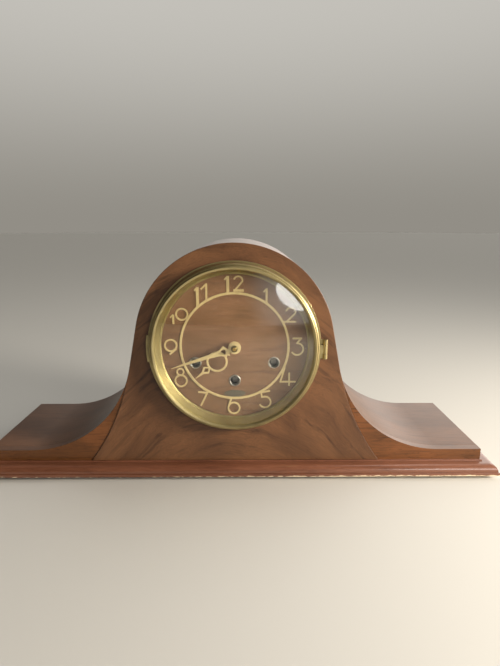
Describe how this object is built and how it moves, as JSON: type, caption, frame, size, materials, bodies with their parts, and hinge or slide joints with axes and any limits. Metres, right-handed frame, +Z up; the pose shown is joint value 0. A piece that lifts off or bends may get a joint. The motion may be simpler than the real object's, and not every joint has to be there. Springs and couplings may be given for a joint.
{
  "type": "mantel clock",
  "caption": "Tambour mantel clock: hat-shaped wooden case, hinged brass bezel with domed glass, pointer hands and a chiming pendulum movement behind a back door.",
  "frame": {"origin": "centre of the footprint on the surface the clock stands on", "axes": "+Z up, +X to the right seen from the dial side, +Y from the dial to the back door"},
  "size_m": [0.524, 0.1546, 0.231],
  "materials": {
    "base_wood": "lacquered mahogany",
    "front_veneer": "lacquered walnut veneer",
    "dial_veneer": "walnut veneer",
    "wing_wood": "lacquered walnut",
    "skin_wood": "satin lacquered walnut",
    "back_wood": "stained plywood",
    "felt": "green felt",
    "dial_metal": "matt lacquered brass",
    "bezel_brass": "polished brass, aged",
    "fitting_brass": "brass",
    "plaque": "dark lacquered oval",
    "crystal": "clear domed glass",
    "movement_brass": "milled brass",
    "movement_steel": "steel",
    "cast_block": "black japanned iron"
  },
  "bodies": {
    "case": {"base_board": "base_wood", "feet": "felt", "case_skin": "skin_wood", "front_panel": "front_veneer", "wing_front_left": "wing_wood", "wing_front_right": "wing_wood", "wing_end_blocks": "wing_wood", "back_panel": "back_wood", "door_hinge_fixed_leaves": "fitting_brass", "dial": "dial_veneer", "chapter_ring": "dial_metal", "numerals": "dial_metal", "winding_hole_eyelets": "fitting_brass", "dial_plaque": "plaque", "bezel_seat_ring": "bezel_brass", "front_plate": "movement_brass", "back_plate": "movement_brass", "plate_pillars": "movement_steel", "movement_brackets": "movement_steel", "hammer_frame": "movement_steel", "chime_rods": "movement_steel", "rod_block": "cast_block"},
    "bezel_door": {"bezel_ring": "bezel_brass", "bezel_sight_ring": "bezel_brass", "bezel_glass": "crystal"},
    "access_door": {"back_door": "back_wood", "back_door_knob": "fitting_brass", "door_hinge_door_leaves": "fitting_brass"},
    "centre_arbor": {"centre_wheel": "movement_brass", "cannon_pinion": "movement_brass", "minute_hand": "dial_metal", "hand_nut": "bezel_brass"},
    "hour_pipe": {"hour_wheel": "movement_brass", "hour_hand": "dial_metal"},
    "minute_wheel": {"minute_wheel": "movement_brass"},
    "intermediate_wheel": {"intermediate_wheel": "movement_brass"},
    "time_barrel": {"time_barrel": "movement_brass"},
    "third_wheel": {"third_wheel": "movement_brass"},
    "fourth_wheel": {"fourth_wheel": "movement_brass"},
    "escape_wheel": {"escape_wheel": "movement_brass"},
    "pendulum": {"pendulum_rod": "movement_steel", "pendulum_bob": "movement_brass"},
    "anchor": {"anchor": "movement_steel"},
    "strike_barrel": {"strike_barrel": "movement_brass"},
    "strike_second_wheel": {"strike_second_wheel": "movement_brass"},
    "strike_fly": {"strike_fly": "movement_steel"},
    "chime_barrel": {"chime_barrel": "movement_brass"},
    "chime_second_wheel": {"chime_second_wheel": "movement_brass"},
    "chime_fly": {"chime_fly": "movement_steel"},
    "chime_drum": {"chime_drum": "movement_brass"},
    "time_winding_arbor": {"time_winding_arbor": "movement_steel"},
    "time_click": {"time_click": "movement_steel"},
    "strike_winding_arbor": {"strike_winding_arbor": "movement_steel"},
    "strike_click": {"strike_click": "movement_steel"},
    "chime_winding_arbor": {"chime_winding_arbor": "movement_steel"},
    "chime_click": {"chime_click": "movement_steel"},
    "hammer_1": {"hammer_1": "movement_brass"},
    "hammer_2": {"hammer_2": "movement_brass"},
    "hammer_3": {"hammer_3": "movement_brass"},
    "hammer_4": {"hammer_4": "movement_brass"}
  },
  "joints": [
    {"name": "bezel_door_swing", "type": "hinge", "parent": "case", "child": "bezel_door", "pos_m": [0.0866, -0.05869, 0.131], "axis": [0, 0, 1], "range_deg": [0, 115]},
    {"name": "back_door_swing", "type": "hinge", "parent": "case", "child": "access_door", "pos_m": [0.0746, 0.07406, 0.0875], "axis": [0, 0, -1], "range_deg": [0, 110]},
    {"name": "minute_hand_turn", "type": "hinge", "parent": "case", "child": "centre_arbor", "pos_m": [0, -0.01569, 0.132], "axis": [0, 1, 0], "continuous": true},
    {"name": "hour_hand_turn", "type": "hinge", "parent": "case", "child": "hour_pipe", "pos_m": [0, -0.01569, 0.132], "axis": [0, 1, 0], "continuous": true},
    {"name": "minute_wheel_turn", "type": "hinge", "parent": "case", "child": "minute_wheel", "pos_m": [0.0084, -0.01569, 0.14655], "axis": [0, 1, 0], "continuous": true},
    {"name": "intermediate_wheel_turn", "type": "hinge", "parent": "case", "child": "intermediate_wheel", "pos_m": [0.01035, -0.01569, 0.12097], "axis": [0, 1, 0], "continuous": true},
    {"name": "time_barrel_turn", "type": "hinge", "parent": "case", "child": "time_barrel", "pos_m": [0, -0.01569, 0.098], "axis": [0, 1, 0], "continuous": true},
    {"name": "third_wheel_turn", "type": "hinge", "parent": "case", "child": "third_wheel", "pos_m": [-0.00735, -0.01569, 0.14473], "axis": [0, 1, 0], "continuous": true},
    {"name": "fourth_wheel_turn", "type": "hinge", "parent": "case", "child": "fourth_wheel", "pos_m": [-0.0007, -0.01569, 0.15625], "axis": [0, 1, 0], "continuous": true},
    {"name": "escape_wheel_turn", "type": "hinge", "parent": "case", "child": "escape_wheel", "pos_m": [0, -0.01569, 0.16703], "axis": [0, 1, 0], "continuous": true},
    {"name": "pendulum_swing", "type": "hinge", "parent": "case", "child": "pendulum", "pos_m": [0, -0.01569, 0.18023], "axis": [0, 1, 0], "range_deg": [-4, 4]},
    {"name": "anchor_swing", "type": "hinge", "parent": "case", "child": "anchor", "pos_m": [0, -0.01569, 0.18023], "axis": [0, 1, 0], "range_deg": [-4, 4]},
    {"name": "strike_barrel_turn", "type": "hinge", "parent": "case", "child": "strike_barrel", "pos_m": [-0.038, -0.01569, 0.116], "axis": [0, 1, 0], "continuous": true},
    {"name": "strike_second_wheel_turn", "type": "hinge", "parent": "case", "child": "strike_second_wheel", "pos_m": [-0.04662, -0.01569, 0.13968], "axis": [0, 1, 0], "continuous": true},
    {"name": "strike_fly_turn", "type": "hinge", "parent": "case", "child": "strike_fly", "pos_m": [-0.04159, -0.01569, 0.15349], "axis": [0, 1, 0], "continuous": true},
    {"name": "chime_barrel_turn", "type": "hinge", "parent": "case", "child": "chime_barrel", "pos_m": [0.038, -0.01569, 0.116], "axis": [0, 1, 0], "continuous": true},
    {"name": "chime_second_wheel_turn", "type": "hinge", "parent": "case", "child": "chime_second_wheel", "pos_m": [0.04662, -0.01569, 0.13968], "axis": [0, 1, 0], "continuous": true},
    {"name": "chime_fly_turn", "type": "hinge", "parent": "case", "child": "chime_fly", "pos_m": [0.04159, -0.01569, 0.15349], "axis": [0, 1, 0], "continuous": true},
    {"name": "chime_drum_turn", "type": "hinge", "parent": "case", "child": "chime_drum", "pos_m": [0.04383, 0.02431, 0.09978], "axis": [0, 1, 0], "continuous": true},
    {"name": "time_winding_turn", "type": "hinge", "parent": "case", "child": "time_winding_arbor", "pos_m": [0, -0.01569, 0.098], "axis": [0, 1, 0], "continuous": true},
    {"name": "time_click_lift", "type": "hinge", "parent": "case", "child": "time_click", "pos_m": [0.009, -0.03569, 0.08728], "axis": [0, 1, 0], "range_deg": [0, 18]},
    {"name": "strike_winding_turn", "type": "hinge", "parent": "case", "child": "strike_winding_arbor", "pos_m": [-0.038, -0.01569, 0.116], "axis": [0, 1, 0], "continuous": true},
    {"name": "strike_click_lift", "type": "hinge", "parent": "case", "child": "strike_click", "pos_m": [-0.047, -0.03569, 0.10527], "axis": [0, 1, 0], "range_deg": [0, 18]},
    {"name": "chime_winding_turn", "type": "hinge", "parent": "case", "child": "chime_winding_arbor", "pos_m": [0.038, -0.01569, 0.116], "axis": [0, 1, 0], "continuous": true},
    {"name": "chime_click_lift", "type": "hinge", "parent": "case", "child": "chime_click", "pos_m": [0.047, -0.03569, 0.10527], "axis": [0, 1, 0], "range_deg": [0, 18]},
    {"name": "hammer_1_lift", "type": "hinge", "parent": "case", "child": "hammer_1", "pos_m": [0.066, 0.01431, 0.062], "axis": [0, 1, 0], "range_deg": [0, 12]},
    {"name": "hammer_2_lift", "type": "hinge", "parent": "case", "child": "hammer_2", "pos_m": [0.066, 0.02231, 0.062], "axis": [0, 1, 0], "range_deg": [0, 12]},
    {"name": "hammer_3_lift", "type": "hinge", "parent": "case", "child": "hammer_3", "pos_m": [0.066, 0.03031, 0.062], "axis": [0, 1, 0], "range_deg": [0, 12]},
    {"name": "hammer_4_lift", "type": "hinge", "parent": "case", "child": "hammer_4", "pos_m": [0.066, 0.03831, 0.062], "axis": [0, 1, 0], "range_deg": [0, 12]}
  ],
  "couplings": [
    {"joint": "hour_hand_turn", "follows": "minute_hand_turn", "ratio": 0.083333},
    {"joint": "minute_wheel_turn", "follows": "minute_hand_turn", "ratio": -0.33333},
    {"joint": "intermediate_wheel_turn", "follows": "minute_hand_turn", "ratio": -0.22222},
    {"joint": "time_barrel_turn", "follows": "minute_hand_turn", "ratio": 0.037037},
    {"joint": "third_wheel_turn", "follows": "minute_hand_turn", "ratio": -6},
    {"joint": "fourth_wheel_turn", "follows": "minute_hand_turn", "ratio": 36},
    {"joint": "escape_wheel_turn", "follows": "minute_hand_turn", "ratio": -180},
    {"joint": "anchor_swing", "follows": "pendulum_swing", "ratio": 1},
    {"joint": "strike_second_wheel_turn", "follows": "strike_barrel_turn", "ratio": -6},
    {"joint": "strike_fly_turn", "follows": "strike_barrel_turn", "ratio": 36},
    {"joint": "chime_second_wheel_turn", "follows": "chime_barrel_turn", "ratio": -6},
    {"joint": "chime_fly_turn", "follows": "chime_barrel_turn", "ratio": 36},
    {"joint": "chime_drum_turn", "follows": "chime_barrel_turn", "ratio": 5.5385}
  ]
}
